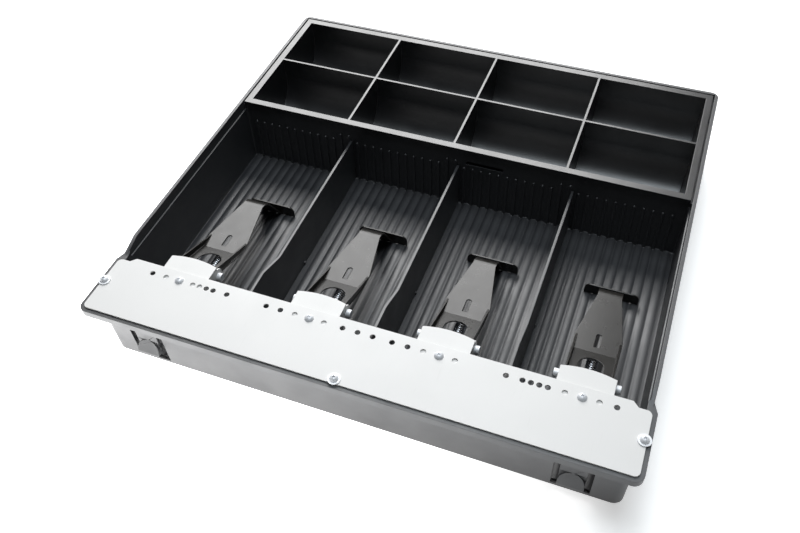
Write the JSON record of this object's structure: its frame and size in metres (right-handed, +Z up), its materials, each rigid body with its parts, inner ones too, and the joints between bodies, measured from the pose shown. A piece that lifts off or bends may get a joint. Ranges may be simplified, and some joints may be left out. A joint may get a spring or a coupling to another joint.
{
  "type": "cash drawer insert",
  "caption": "Black cash drawer insert with ribbed bill compartments under sprung bill clips, a white steel cover plate and a lift-out coin tray.",
  "frame": {"origin": "middle of the underside", "axes": "+Z up, the front flange and cover plate face -Y, +X to the right"},
  "size_m": [0.3764, 0.362, 0.062],
  "materials": {
    "black_plastic": "satin moulded",
    "white_paint": "white powder coat",
    "black_paint": "semi-gloss black",
    "bright_steel": "bright zinc",
    "spring_steel": "polished spring wire"
  },
  "bodies": {
    "tray": {"tray_body": "black_plastic", "divider_left": "black_plastic", "divider_centre": "black_plastic", "divider_right": "black_plastic", "clip_bracket_1": "white_paint", "hinge_pin_1": "bright_steel", "clip_spring_1": "spring_steel", "clip_bracket_2": "white_paint", "hinge_pin_2": "bright_steel", "clip_spring_2": "spring_steel", "clip_bracket_3": "white_paint", "hinge_pin_3": "bright_steel", "clip_spring_3": "spring_steel", "clip_bracket_4": "white_paint", "hinge_pin_4": "bright_steel", "clip_spring_4": "spring_steel", "cover_plate": "white_paint", "bracket_screws": "bright_steel", "plate_screws": "bright_steel", "plate_washers": "bright_steel"},
    "coin_tray": {"coin_tray": "black_plastic"},
    "snap_left": {"snap_tongue_left": "black_plastic"},
    "snap_right": {"snap_tongue_right": "black_plastic"},
    "clip_1": {"bill_clip_1": "black_paint"},
    "clip_2": {"bill_clip_2": "black_paint"},
    "clip_3": {"bill_clip_3": "black_paint"},
    "clip_4": {"bill_clip_4": "black_paint"}
  },
  "joints": [
    {"name": "coin_tray_lift", "type": "slide", "parent": "tray", "child": "coin_tray", "axis": [0, 0, 1], "range_m": [0, 0.06]},
    {"name": "clip_1_hinge", "type": "hinge", "parent": "tray", "child": "clip_1", "pos_m": [-0.1345, -0.11835, 0.0483], "axis": [1, 0, 0], "range_deg": [0, 44], "stiffness_Nm_per_rad": 0.05, "springref_deg": -85.94, "deforming": ["clip_spring_1"]},
    {"name": "clip_2_hinge", "type": "hinge", "parent": "tray", "child": "clip_2", "pos_m": [-0.0366, -0.11835, 0.0483], "axis": [1, 0, 0], "range_deg": [0, 44], "stiffness_Nm_per_rad": 0.05, "springref_deg": -85.94, "deforming": ["clip_spring_2"]},
    {"name": "clip_3_hinge", "type": "hinge", "parent": "tray", "child": "clip_3", "pos_m": [0.053, -0.11835, 0.0483], "axis": [1, 0, 0], "range_deg": [0, 44], "stiffness_Nm_per_rad": 0.05, "springref_deg": -85.94, "deforming": ["clip_spring_3"]},
    {"name": "clip_4_hinge", "type": "hinge", "parent": "tray", "child": "clip_4", "pos_m": [0.1437, -0.11835, 0.0483], "axis": [1, 0, 0], "range_deg": [0, 44], "stiffness_Nm_per_rad": 0.05, "springref_deg": -85.94, "deforming": ["clip_spring_4"]},
    {"name": "snap_left_flex", "type": "hinge", "parent": "tray", "child": "snap_left", "pos_m": [-0.15, -0.16923, 0.0319], "axis": [1, 0, 0], "range_deg": [0, 10], "stiffness_Nm_per_rad": 0.5},
    {"name": "snap_right_flex", "type": "hinge", "parent": "tray", "child": "snap_right", "pos_m": [0.15, -0.16923, 0.0319], "axis": [1, 0, 0], "range_deg": [0, 10], "stiffness_Nm_per_rad": 0.5}
  ]
}
